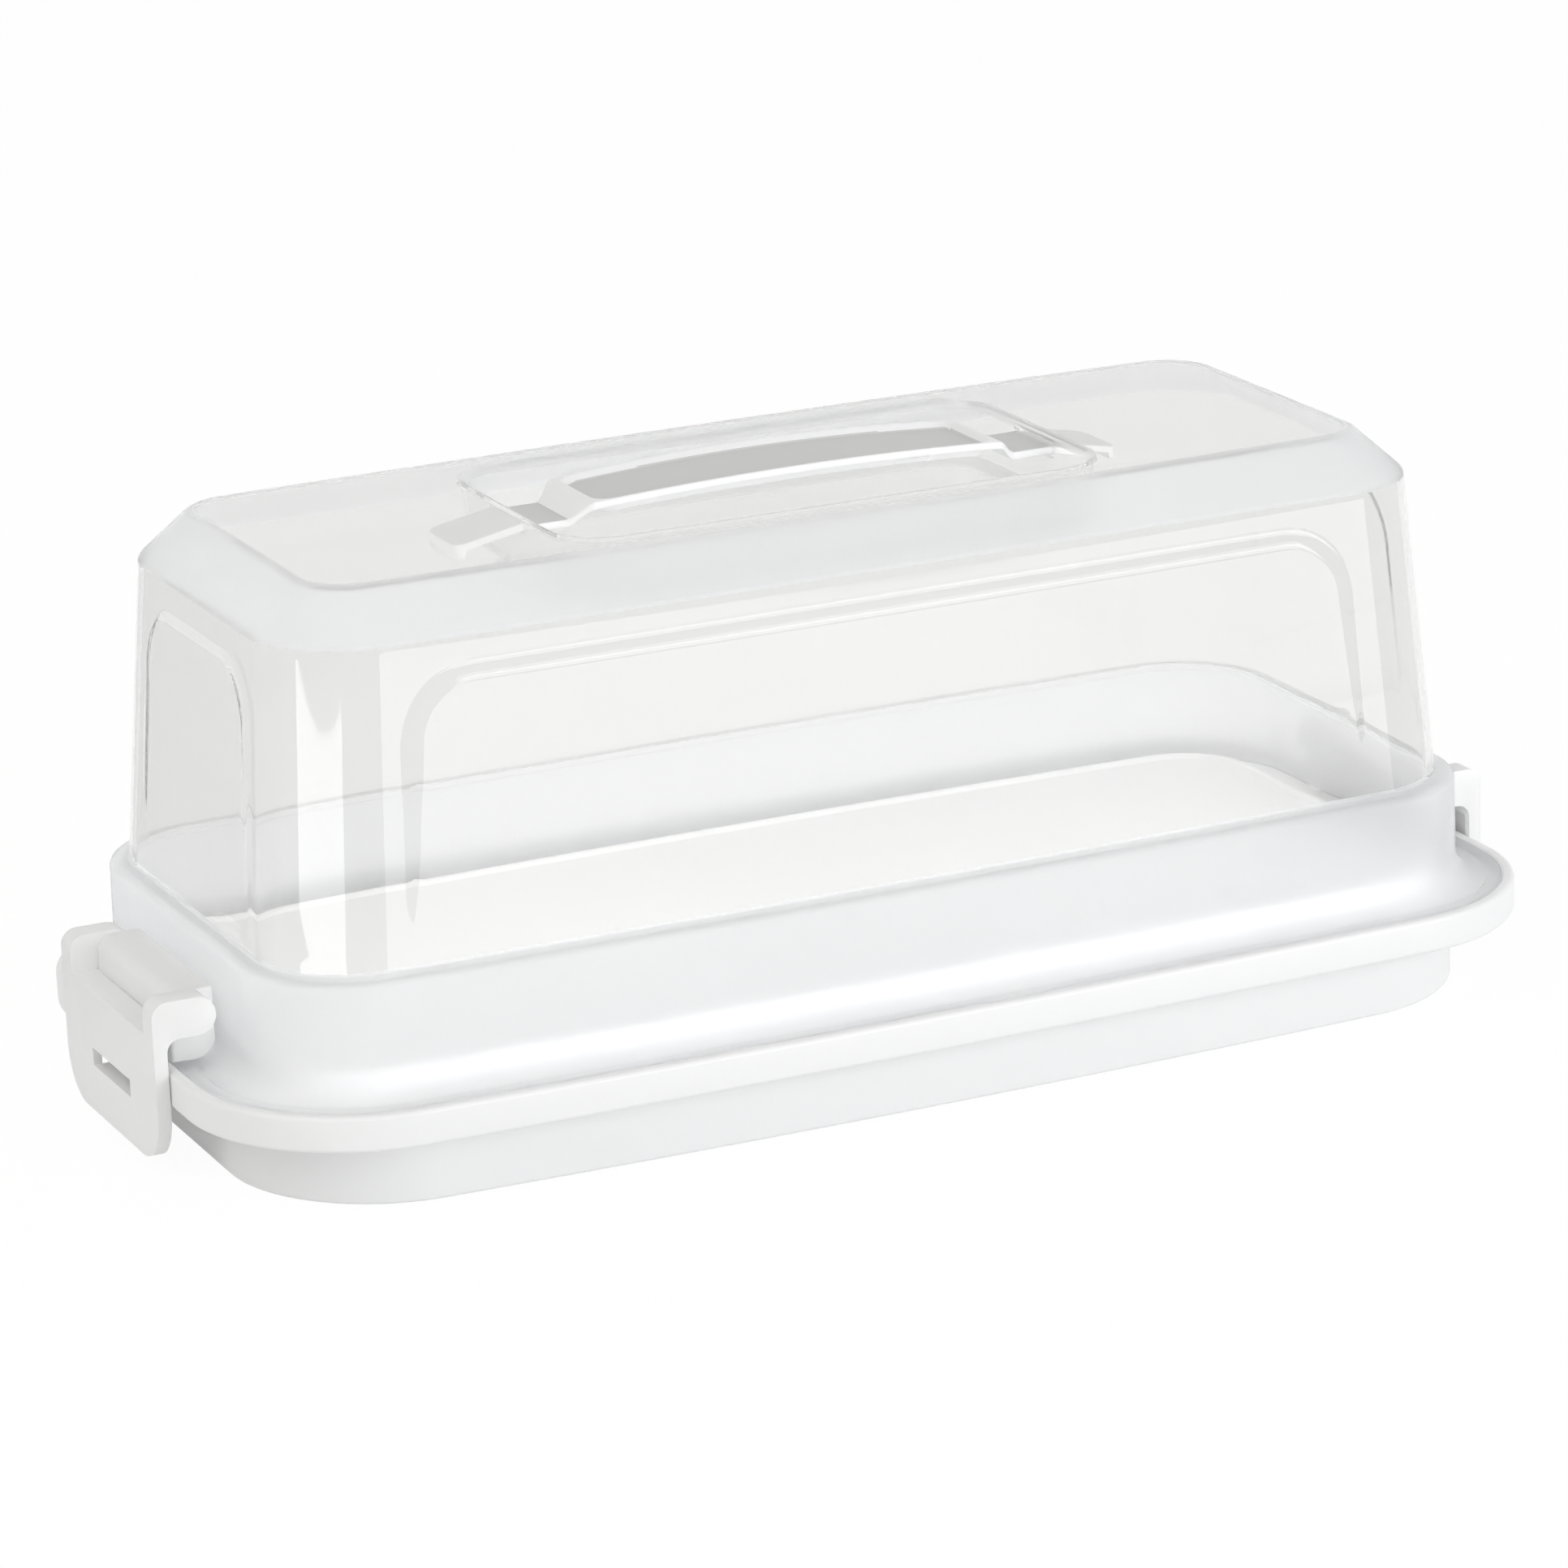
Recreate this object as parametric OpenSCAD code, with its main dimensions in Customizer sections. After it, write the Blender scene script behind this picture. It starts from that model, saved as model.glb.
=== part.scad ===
// Loaf-cake carrier: a white tray with a seat channel round its rim, a clear hood
// that drops into the channel, two hinged side clips and a strap handle in the top.
// X runs along the length, -Y is the front, +Z is up, and the origin is on the table
// under the middle of the tray. All sizes are in millimetres.

/* [Tray] */
// Length of the tray over its rim
rim_l = 400; // [380:1:440]
// Width of the rim at its short ends
rim_w = 191.6; // [180:0.2:210]
// Corner radius of the rim
rim_r = 47.5; // [42:0.5:56]
// Outward bow of the rim's long sides at mid length
rim_bow = 4; // [0:0.5:7]
// Height of the rim's top above the table
rim_h = 31; // [28:0.5:38]
// Height of the band that hangs round the rim
band_h = 10; // [8:0.5:13]
// Edge radius of the band and of the lip
band_edge = 1.2; // [0.6:0.1:1.2]
// Wall thickness of the tray
tray_wall = 2.5; // [2:0.1:3]
// Distance from the rim's edge in to the foot
foot_inset = 14.5; // [12:0.5:17]
// Corner radius of the foot
foot_r = 43; // [36:0.5:50]
// Outward bow of the foot's long sides
foot_bow = 5.5; // [0:0.5:7]
// Thickness of the lip that stands outside the seat channel
lip_w = 3.2; // [2.6:0.1:4]
// Depth of the seat channel below the rim's top
seat_depth = 3; // [2.6:0.1:4]
// Height of the cake floor's bead above the rim's top
bead_rise = 3.5; // [2:0.5:6]
// Depth of the cake floor inside its bead
floor_dip = 1; // [0.5:0.1:1.5]
// Distance from the rim's edge in to the foot of the cake floor's wall
floor_inset = 23.5; // [22:0.5:27]

/* [Hood] */
// Height of the hood's flat top above the table
top_h = 161.5; // [140:0.5:200]
// Height of the frosted skirt's shoulder above the rim's top
skirt_rise = 30.7; // [28:0.1:38]
// Distance from the rim's edge in to the skirt's outer face
skirt_inset = 16.6; // [15.5:0.1:18]
// Corner radius of the flare between the flange and the skirt
flare_r = 8; // [5:0.5:8]
// Width of the shoulder between the skirt and the clear wall
shoulder_w = 5.3; // [4.5:0.1:7]
// Rounding of the shoulder's outer edge
shoulder_r = 3.4; // [2:0.1:4]
// Inward lean of the clear wall from the shoulder to the bevel
wall_lean = 6.2; // [3:0.1:8]
// Corner radius of the clear wall
wall_r = 27; // [24:0.5:32]
// Outward bow of the clear wall's long sides at the shoulder
wall_bow = 3; // [0:0.5:4]
// Height of the frosted bevel round the top
bevel_h = 13; // [9:0.5:15]
// Width of the bevel, seen from above
bevel_w = 14; // [12:0.5:18]
// Corner radius of the flat top
top_r = 14; // [8:0.5:16]
// Outward bow of the flat top's long sides
top_bow = 2.5; // [0.5:0.1:4]
// Wall thickness of the hood's sides
hood_wall = 2; // [1.6:0.1:2.4]
// Thickness of the hood's top
top_wall = 2; // [1.6:0.1:2.4]
// Thickness of the flange that sits in the tray
flange_t = 2.2; // [1.8:0.1:2.6]

/* [Side panels] */
// Width of the arch panel on each long side
panel_l = 284; // [240:1:290]
// Width of the arch panel on each short end
panel_w = 78; // [60:1:84]
// Distance from the bevel's lower edge down to the panels' tops
panel_drop = 8.5; // [6:0.5:16]
// Radius of the panels' upper corners
panel_r = 20; // [12:0.5:26]
// How far the panels stand out at the bevel's height, fading to nothing at the shoulder
panel_proud = 2; // [1:0.1:2.4]

/* [Hand recess] */
// Length of the recess in the top
recess_l = 160; // [150:1:176]
// Width of the recess in the top
recess_w = 87; // [76:1:90]
// Depth of the recess
recess_d = 17.5; // [14:0.5:24]
// Corner radius of the recess
recess_r = 14; // [8:0.5:20]
// Inward lean of the recess's walls from top to floor
recess_lean = 1.6; // [0.5:0.1:3]
// Rounding of the recess's top edge
recess_edge = 2.8; // [1:0.1:3.2]

/* [Handle] */
// Length over the two end tabs
handle_l = 202; // [190:1:214]
// How far the handle lifts before its tabs meet the underside of the top
handle_lift = 1; // [0.5:0.1:3]
// Width of the strap and its tabs
strap_w = 22; // [18:0.5:26]
// Thickness of the strap
strap_t = 2.2; // [1.8:0.1:2.6]
// Length of the raised grip
grip_l = 130; // [110:1:138]
// Width of the raised grip at mid length
grip_w = 35; // [30:0.5:40]
// Outward bow of each long side of the grip
grip_bow = 2.7; // [0:0.1:3.5]
// Height of the grip's turned-up edges above the hood's top, at mid length
grip_rise = 4; // [3:0.1:8]
// Fall of the grip from mid length to its ends
grip_fall = 3; // [0.5:0.1:4]
// Depth of the dish along the grip, below its edges
grip_dish = 2.1; // [0.5:0.1:3]
// Length of the step between the grip and the strap
step_l = 7; // [5:0.5:10]
// Fall of each tab from its slot to its tip
tab_fall = 4; // [1:0.1:5]
// Height of the stop rib under the tip of each tab
stop_h = 1.8; // [1:0.1:2.5]
// Thickness of that stop rib
stop_t = 3; // [2:0.5:4]

/* [Clips] */
// Width of a clip
clip_w = 73; // [66:1:80]
// Thickness of a clip's cheeks
cheek_t = 7.5; // [6:0.1:9]
// Distance from the rim's edge out to a clip's outer face
clip_proud = 4.2; // [4:0.1:5.5]
// Thickness of a clip's plate and flanges
clip_wall = 2.5; // [2:0.1:2.8]
// Height of a clip's lower edge above the table
clip_foot = 4.5; // [3:0.5:8]
// Height of a clip's cross ledge above the rim's top
ledge_rise = 9.5; // [8.5:0.1:10]
// Corner radius at a clip's lower end
clip_r = 14; // [5:0.5:16]
// Distance from the rim's edge in to the hinge axis
pivot_inset = 8.6; // [8.4:0.1:9]
// Height of the hinge axis above the rim's top
pivot_rise = 14.5; // [14:0.1:15.5]
// Radius of the cheek round the hinge axis
nose_r = 5.3; // [4.8:0.1:5.6]
// Radius of the hinge pins
pin_r = 2; // [1.5:0.1:2.4]
// Length of the hinge pins
pin_l = 4; // [3:0.5:5]
// Width of the hook and of the slot over it
hook_w = 30; // [20:1:40]
// Height of the slot in the plate
slot_h = 5; // [4:0.1:7]
// How far the hook reaches under the tray's catch
hook_bite = 1.4; // [0.8:0.1:1.8]
// Height of the tray's catch below its band
catch_drop = 2.4; // [1.5:0.1:3]

/* [Clearances] */
// Gap under the flange, and beside it in the seat channel
seat_gap = 0.3; // [0.2:0.05:0.5]
// Radial running clearance of the hinge pins
pin_gap = 0.08; // [0.04:0.01:0.1]
// Gap between a clip and what it lies against
clip_gap = 0.4; // [0.3:0.05:0.6]
// Gap between a cheek and the side of the hinge block
cheek_gap = 0.3; // [0.2:0.05:0.5]
// Gap round the strap in the slots of the recess
strap_gap = 0.3; // [0.2:0.05:0.6]

/* [Hidden] */
$fn = 64;

eps = 0.01;

// Points along each corner, each long side and each short side of a ring
corner_n = 10;
long_n = 9;
short_n = 3;

// Heights of the tray
band_z = rim_h - band_h;
seat_z = rim_h - seat_depth;
under_z = seat_z - tray_wall;
bead_z = rim_h + bead_rise;
floor_z = bead_z - floor_dip;
bead_w = 2;
floor_wall_lean = 2;

// Heights and insets of the hood
flange_z = seat_z + seat_gap;
flange_top = flange_z + flange_t;
flange_inset = lip_w + seat_gap;
flange_bead_w = 2.6;
flange_bead_h = 0.5;
skirt_lean = 0.4;
flare_z = flange_top + flare_r;
shoulder_z = rim_h + skirt_rise;
wall_inset = skirt_inset + shoulder_w;
bevel_z = top_h - bevel_h;
bevel_inset = wall_inset + wall_lean;
top_inset = bevel_inset + bevel_w;
bevel_bow = 0.7;
skirt_bow = (rim_bow + wall_bow) / 2;

// Heights and spread of the arch panels
panel_top = bevel_z - panel_drop;
panel_spread = 2.5;
panel_start = 0.2;

// Heights of the hand recess
recess_z = top_h - recess_d;
skin_z = top_h - top_wall;
recess_wall = hood_wall - 0.2;
recess_bow = 0.3;

// Heights of the handle: the strap lies a lift below the underside of the top
strap_z = skin_z - handle_lift - strap_gap;
step_top = grip_l / 2 - step_l / 2;
step_end = grip_l / 2 + step_l / 2;
tab_end = handle_l / 2;
slot_x = recess_l / 2;
tab_slope = tab_fall / (tab_end - slot_x);
tab_crown = 0.1;
slot_low = strap_z - strap_t - tab_slope * (recess_wall + 1) - strap_gap;
grip_z = top_h + grip_rise;

// Points across the strap, as shares of its half width, and how far up the dish each lies
strap_across = [-1, -0.93, -0.8, -0.64, 0, 0.64, 0.8, 0.93, 1];
dish_share = [1, 1, 0.35, 0, 0, 0, 0.35, 1, 1];

// Places on a clip, for the one at +X
rim_x = rim_l / 2;
clip_x = rim_x + clip_proud;
flange_x = rim_x + clip_gap;
pivot_x = rim_x - pivot_inset;
pivot_z = rim_h + pivot_rise;
clip_top = pivot_z + nose_r;
ledge_z = rim_h + ledge_rise;
block_x = rim_x - flange_inset;
block_y = clip_w / 2 - cheek_t - cheek_gap;
block_top = clip_top - 0.5;
block_r = 4.5;
block_wall = pin_l + 0.3;
block_rib = 2;
cheek_low = pivot_z - nose_r;
cut_r = 3.8;
catch_z = band_z - catch_drop;
hook_z = catch_z - clip_gap;
hook_t = 2;

// One ring of the rounded outline: in is its distance inside the rim's edge,
// r its corner radius, bow the outward bow of its long sides and z its height.
function ring(in, r, bow, z) = rounded(rim_l / 2 - in, rim_w / 2 - in, r, bow, z);

// A rounded rectangle of half sizes hx and hy, as points in turn from the front right.
function rounded(hx, hy, r, bow, z) = [
    for (p = concat(
        corner(hx - r, -hy + r, r, -90),
        side([hx, -hy + r], [hx, hy - r], short_n),
        corner(hx - r, hy - r, r, 0),
        side([hx - r, hy], [-hx + r, hy], long_n),
        corner(-hx + r, hy - r, r, 90),
        side([-hx, hy - r], [-hx, -hy + r], short_n),
        corner(-hx + r, -hy + r, r, 180),
        side([-hx + r, -hy], [hx - r, -hy], long_n)
    )) [p[0], p[1] * (1 + bow / hy * (1 - pow(p[0] / hx, 2))), z]
];

function corner(cx, cy, r, from) = [
    for (i = [0 : corner_n]) [cx + r * cos(from + 90 * i / corner_n), cy + r * sin(from + 90 * i / corner_n)]
];

function side(a, b, n) = [for (i = [1 : n]) a + (b - a) * i / (n + 1)];

// A closed solid through rings that all have the same number of points. The first
// and last rings are capped.
module loft(rings) {
    n = len(rings[0]);
    last = len(rings) - 1;
    polyhedron(
        points = [for (r = rings) for (p = r) p],
        faces = concat(
            [[for (i = [0 : n - 1]) i]],
            [for (k = [0 : last - 1]) for (i = [0 : n - 1]) let (j = (i + 1) % n)
                [k * n + i, (k + 1) * n + i, (k + 1) * n + j]],
            [for (k = [0 : last - 1]) for (i = [0 : n - 1]) let (j = (i + 1) % n)
                [k * n + i, (k + 1) * n + j, k * n + j]],
            [[for (i = [n - 1 : -1 : 0]) last * n + i]]
        ),
        convexity = 8
    );
}

// The tray's outer skin, from the foot out under the band, round the lip and over
// the seat channel to the cake floor.
function tray_ring(in, z) = ring(in, rim_r - in, rim_bow, z);

function foot_ring(in, z) = ring(foot_inset + in, foot_r - in, foot_bow, z);

module tray_skin() {
    e = band_edge;
    loft([
        foot_ring(0, 0),
        foot_ring(0, under_z),
        tray_ring(tray_wall, under_z),
        tray_ring(tray_wall, band_z + e),
        tray_ring(tray_wall - e / 3, band_z + e / 3),
        tray_ring(e, band_z),
        tray_ring(e / 3, band_z + e / 3),
        tray_ring(0, band_z + e),
        tray_ring(0, rim_h - e),
        tray_ring(e / 3, rim_h - e / 3),
        tray_ring(e, rim_h),
        tray_ring(lip_w - e / 2, rim_h),
        tray_ring(lip_w, rim_h - e / 2),
        tray_ring(lip_w, seat_z),
        tray_ring(floor_inset, seat_z),
        tray_ring(floor_inset + floor_wall_lean * 0.8, bead_z - floor_dip),
        tray_ring(floor_inset + floor_wall_lean, bead_z),
        tray_ring(floor_inset + floor_wall_lean + bead_w, bead_z),
        tray_ring(floor_inset + floor_wall_lean + bead_w * 1.6, floor_z)
    ]);
}

// The hollow under the tray, inside the foot and up behind the cake floor.
module tray_hollow() {
    loft([
        foot_ring(tray_wall, -1),
        foot_ring(tray_wall, under_z),
        tray_ring(floor_inset + tray_wall, under_z),
        tray_ring(floor_inset + floor_wall_lean + tray_wall, floor_z - tray_wall)
    ]);
}

module base_tray() {
    color([0.96, 0.96, 0.95]) {
        union() {
            difference() {
                tray_skin();
                tray_hollow();
            }
            catch();
            mirror([1, 0, 0]) catch();
        }
    }
}

// The catch that a clip's hook snaps under: a short tongue below the band.
module catch() {
    translate([rim_x - tray_wall, -hook_w / 2, catch_z])
        cube([tray_wall - eps, hook_w, band_z + band_edge * 2 - catch_z]);
}

// The hood's outer rings from the flange up to the flat top, and its inner rings down.
function hood_ring(in, z) = ring(in, rim_r - in, rim_bow, z);

function skirt_ring(in, z) = ring(in, rim_r - in, skirt_bow, z);

function wall_ring(in, z) = ring(in, wall_r - (in - wall_inset) / 2, wall_bow, z);

function flare(r, phi) = let (c = skirt_inset - flare_r)
    skirt_ring(c + r * sin(phi), flare_z - r * cos(phi));

flare_steps = [20, 40, 60, 80];
inner_flare_r = flare_r + hood_wall;

module hood_shell() {
    w = hood_wall;
    bead_in = flange_inset + flange_bead_w;
    loft(concat(
        // inside, from the underside of the top down to the flange
        [
            ring(top_inset + w * 0.4, top_r - w * 0.4, top_bow, skin_z),
            ring(bevel_inset + w, wall_r - w, bevel_bow, bevel_z - w * 0.35),
            wall_ring(wall_inset + w, shoulder_z - w),
            skirt_ring(skirt_inset + shoulder_r * 0.3 + w, shoulder_z - w - shoulder_r * 0.2),
            skirt_ring(skirt_inset + skirt_lean + w, shoulder_z - shoulder_r - w * 0.4),
            skirt_ring(skirt_inset + w, flare_z)
        ],
        [for (i = [3 : -1 : 0]) flare(inner_flare_r, flare_steps[i])],
        [
            skirt_ring(skirt_inset - flare_r, flange_z),
            hood_ring(flange_inset, flange_z),
            // outside, from the flange's edge up to the flat top
            hood_ring(flange_inset, flange_top),
            hood_ring(flange_inset + flange_bead_h, flange_top + flange_bead_h),
            hood_ring(bead_in - flange_bead_h, flange_top + flange_bead_h),
            hood_ring(bead_in, flange_top)
        ],
        [for (phi = flare_steps) flare(flare_r, phi)],
        [
            skirt_ring(skirt_inset, flare_z),
            skirt_ring(skirt_inset + skirt_lean, shoulder_z - shoulder_r),
            skirt_ring(skirt_inset + skirt_lean + shoulder_r * 0.13, shoulder_z - shoulder_r * 0.5),
            skirt_ring(skirt_inset + skirt_lean + shoulder_r * 0.5, shoulder_z - shoulder_r * 0.13),
            skirt_ring(skirt_inset + skirt_lean + shoulder_r, shoulder_z),
            wall_ring(wall_inset, shoulder_z),
            ring(bevel_inset, wall_r, bevel_bow, bevel_z),
            ring(top_inset - 1.5, top_r + 1.5, top_bow, top_h - 0.8),
            ring(top_inset + 1, top_r - 1, top_bow, top_h)
        ]
    ));
}

// The arch panels: a thin shell that leaves the clear wall upwards, kept where the
// outline of a panel passes through it.
module panel_shell() {
    m = hood_wall / 2;
    difference() {
        loft([
            wall_ring(wall_inset - panel_start, shoulder_z),
            ring(bevel_inset - panel_proud, wall_r, bevel_bow, bevel_z)
        ]);
        loft([
            wall_ring(wall_inset + m, shoulder_z - 1),
            ring(bevel_inset + m, wall_r - m, bevel_bow, bevel_z + 1)
        ]);
    }
}

module panel_outline(width) {
    half = width / 2;
    hull() {
        for (s = [-1, 1])
            translate([s * (half - panel_r), panel_top - panel_r])
                circle(panel_r, $fn = 32);
        translate([-half - panel_spread, shoulder_z - 2])
            square([width + 2 * panel_spread, 1]);
    }
}

module panels() {
    intersection() {
        panel_shell();
        union() {
            rotate([90, 0, 0]) linear_extrude(rim_w * 1.2, center = true) panel_outline(panel_l);
            rotate([90, 0, 90]) linear_extrude(rim_l * 1.2, center = true) panel_outline(panel_w);
        }
    }
}

// One ring of the hand recess, out by a margin, with its walls leaning in downwards.
function recess_ring(out, z) = let (lean = recess_lean * (top_h - z) / recess_d)
    rounded(recess_l / 2 + out - lean, recess_w / 2 + out - lean, recess_r + out - lean / 2, recess_bow, z);

module recess_tub() {
    loft([
        recess_ring(recess_wall - 1.5, recess_z - recess_wall),
        recess_ring(recess_wall, recess_z - recess_wall + 1.5),
        recess_ring(recess_wall, skin_z + top_wall / 2)
    ]);
}

module recess_void() {
    e = recess_edge;
    loft([
        recess_ring(-1.5, recess_z),
        recess_ring(-0.4, recess_z + 0.4),
        recess_ring(0, recess_z + 1.5),
        recess_ring(0, top_h - e),
        recess_ring(e * 0.13, top_h - e * 0.5),
        recess_ring(e * 0.5, top_h - e * 0.13),
        recess_ring(e, top_h),
        recess_ring(e, top_h + 1)
    ]);
}

// The hinge block at the +X end: a box on the flange, cored from below on each side of
// a middle rib, with a bore in each side.
module block_profile(x_from, x_to, z_from, z_to, r) {
    difference() {
        translate([x_from, z_from]) square([x_to - x_from, z_to - z_from]);
        difference() {
            translate([x_to - r, z_to - r]) square([r + 1, r + 1]);
            translate([x_to - r, z_to - r]) circle(r);
        }
    }
}

module across(half_y) {
    translate([0, half_y, 0]) rotate([90, 0, 0]) linear_extrude(2 * half_y) children();
}

module hinge_block() {
    across(block_y) block_profile(rim_x - skirt_inset - hood_wall / 2, block_x, flange_z, block_top, block_r);
}

module hinge_block_void() {
    w = hood_wall;
    half = (block_y - block_wall - block_rib / 2) / 2;
    for (s = [-1, 1]) translate([0, s * (block_rib / 2 + half), 0]) across(half)
        block_profile(rim_x - skirt_inset + eps, block_x - w, flange_z - 1, block_top - w, block_r - w);
    across(block_y + 1) translate([pivot_x, pivot_z]) circle(pin_r + pin_gap);
}

module strap_slot() {
    translate([slot_x - recess_lean - 1, -strap_w / 2 - 2 * strap_gap, slot_low])
        cube([recess_lean + recess_wall + 3, strap_w + 4 * strap_gap, skin_z - slot_low]);
}

module hood() {
    color([0.86, 0.9, 0.94, 0.45])
    difference() {
        union() {
            hood_shell();
            panels();
            recess_tub();
            hinge_block();
            mirror([1, 0, 0]) hinge_block();
        }
        recess_void();
        hinge_block_void();
        mirror([1, 0, 0]) hinge_block_void();
        strap_slot();
        mirror([1, 0, 0]) strap_slot();
    }
}

// The handle is lofted along X. Each station is the strap's cross-section there.
function ease(t) = let (u = max(0, min(1, t))) u * u * (3 - 2 * u);

function step_at(x) = ease((step_end - abs(x)) / step_l);

function strap_edge_z(x) = strap_z - tab_slope * max(0, abs(x) - slot_x);

function grip_edge_z(x) = grip_z - grip_fall * pow(min(abs(x), step_end) / step_end, 2);

function edge_z(x) = strap_edge_z(x) + step_at(x) * (grip_edge_z(x) - strap_edge_z(x));

function grip_half_w(x) = grip_w / 2 - grip_bow * pow(min(abs(x), step_end) / step_end, 2);

function half_w(x) = strap_w / 2 + (grip_half_w(x) - strap_w / 2) * step_at(x);

// The top of the strap at one point across it: flat on the tabs, dished along the grip.
function face_z(x, i) = edge_z(x) - grip_dish * step_at(x) * (1 - dish_share[i])
    + tab_crown * (1 - pow(strap_across[i], 2));

function strap_section(x, t) = let (h = half_w(x), last = len(strap_across) - 1) concat(
    [for (i = [0 : last]) [x, strap_across[i] * h, face_z(x, i) - t]],
    [for (i = [last : -1 : 0]) [x, strap_across[i] * h, face_z(x, i)]]
);

strap_stations = concat(
    [strap_section(-tab_end, strap_t + stop_h)],
    [strap_section(-tab_end + stop_t, strap_t + stop_h)],
    [strap_section(-tab_end + stop_t + 0.2, strap_t)],
    [strap_section(-slot_x, strap_t)],
    [for (i = [0 : 6]) strap_section(-step_end + step_l * i / 6, strap_t)],
    [for (i = [1 : 15]) strap_section(-step_top + 2 * step_top * i / 16, strap_t)],
    [for (i = [0 : 6]) strap_section(step_top + step_l * i / 6, strap_t)],
    [strap_section(slot_x, strap_t)],
    [strap_section(tab_end - stop_t - 0.2, strap_t)],
    [strap_section(tab_end - stop_t, strap_t + stop_h)],
    [strap_section(tab_end, strap_t + stop_h)]
);

module handle() {
    color([0.93, 0.93, 0.92]) loft(strap_stations);
}

// Side outline of a cheek, at +X: a nose round the hinge axis, an arm out to the
// plate, and a cut that clears the corner of the tray's rim.
module cheek_outline() {
    difference() {
        union() {
            translate([pivot_x, pivot_z]) circle(nose_r);
            translate([pivot_x, cheek_low]) square([clip_x - pivot_x, 2 * nose_r]);
            translate([flange_x - cut_r, cheek_low - cut_r]) square([cut_r + eps, cut_r + eps]);
            translate([flange_x, cheek_low - cut_r - eps]) square([clip_x - flange_x, cut_r + 1]);
        }
        translate([flange_x - cut_r, cheek_low - cut_r]) circle(cut_r);
        difference() {
            translate([clip_x - block_r, clip_top - block_r]) square([block_r + 1, block_r + 1]);
            translate([clip_x - block_r, clip_top - block_r]) circle(block_r);
        }
    }
}

// Front outline of the plate, in y and z, with its lower corners rounded.
module plate_outline(in, top) {
    half = clip_w / 2 - in;
    r = clip_r - in;
    low = clip_foot + in;
    union() {
        translate([-half, low + r]) square([2 * half, top - low - r]);
        translate([-half + r, low]) square([2 * (half - r), r + eps]);
        for (s = [-1, 1]) translate([s * (half - r), low + r]) circle(r);
    }
}

// Stands an outline drawn in y and z up at x, and gives it a thickness along X.
module facing(x, t) {
    translate([x, 0, 0]) rotate([90, 0, 90]) linear_extrude(t) children();
}

module clip() {
    cheek_y = clip_w / 2 - cheek_t;
    difference() {
        union() {
            for (s = [-1, 1])
                translate([0, s * (clip_w / 2 - cheek_t / 2), 0]) across(cheek_t / 2) cheek_outline();
            facing(clip_x - clip_wall, clip_wall) plate_outline(0, ledge_z);
            facing(flange_x, clip_x - flange_x)
                difference() {
                    plate_outline(0, cheek_low);
                    plate_outline(clip_wall, cheek_low + 1);
                }
            translate([block_x + clip_gap, -cheek_y - eps, ledge_z - clip_wall])
                cube([clip_x - block_x - clip_gap, 2 * cheek_y + 2 * eps, clip_wall]);
            for (s = [-1, 1])
                translate([pivot_x, s * (cheek_y + eps), pivot_z])
                    rotate([s > 0 ? 90 : -90, 0, 0])
                        cylinder(r = pin_r, h = pin_l + eps);
            translate([rim_x - hook_bite, -hook_w / 2, hook_z - hook_t])
                cube([clip_x - clip_wall - rim_x + hook_bite + eps, hook_w, hook_t]);
        }
        translate([clip_x - clip_wall - 1, -hook_w / 2, hook_z])
            cube([clip_wall + 2, hook_w, slot_h]);
    }
}

module clip_left() {
    color([0.95, 0.95, 0.94]) mirror([1, 0, 0]) clip();
}

module clip_right() {
    color([0.95, 0.95, 0.94]) clip();
}

base_tray();
hood();
handle();
clip_left();
clip_right();
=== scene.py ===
import math

import bmesh
import bpy
import numpy as np
from mathutils import Matrix, Vector


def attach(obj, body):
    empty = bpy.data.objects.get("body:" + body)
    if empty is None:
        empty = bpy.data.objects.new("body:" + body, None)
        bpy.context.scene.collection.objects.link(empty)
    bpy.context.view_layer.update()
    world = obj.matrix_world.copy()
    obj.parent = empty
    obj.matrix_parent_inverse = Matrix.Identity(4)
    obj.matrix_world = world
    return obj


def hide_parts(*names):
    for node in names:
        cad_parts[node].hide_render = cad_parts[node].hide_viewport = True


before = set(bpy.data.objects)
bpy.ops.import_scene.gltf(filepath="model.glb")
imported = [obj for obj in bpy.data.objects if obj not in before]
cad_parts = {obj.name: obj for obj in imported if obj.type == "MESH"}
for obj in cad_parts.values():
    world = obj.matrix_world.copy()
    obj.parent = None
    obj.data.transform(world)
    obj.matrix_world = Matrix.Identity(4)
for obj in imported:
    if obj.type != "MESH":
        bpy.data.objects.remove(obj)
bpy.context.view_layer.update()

# The pieces are given in millimetres, and the studio in metres. An inset is measured inwards
# from the outline of the tray's rim, and the middle of the tray is the origin.
MM = 0.001
scene = bpy.context.scene

# outline of the rim: a rounded rectangle whose long sides bulge by the bow at their middle
RIM_L, RIM_W, RIM_CORNER, RIM_BOW = 400.0, 191.6, 47.5, 4.0

# heights of the tray
BAND_BOTTOM, UNDERSIDE, SEAT_Z, RIM_TOP = 21.0, 25.5, 28.0, 31.0
FLOOR_Z, BEAD_Z, FLOOR_BELOW = 33.5, 34.5, 31.0
FOOT_IN, FOOT_WALL, FOOT_CORNER, FOOT_BOW = 14.5, 2.5, 43.0, 5.5

# the hood: wall thickness, then heights from the flange up to the top
WALL = 2.0
FLANGE_BOTTOM, SHOULDER_Z, BEVEL_Z, TOP_Z = 28.3, 61.7, 148.5, 161.5
SKIN_Z = TOP_Z - WALL
# the flared foot of the skirt: a quarter circle round a line at this inset and height
FLARE_IN, FLARE_Z, FLARE_R, FLARE_BOW = 8.6, 38.5, 8.0, 3.5
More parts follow.
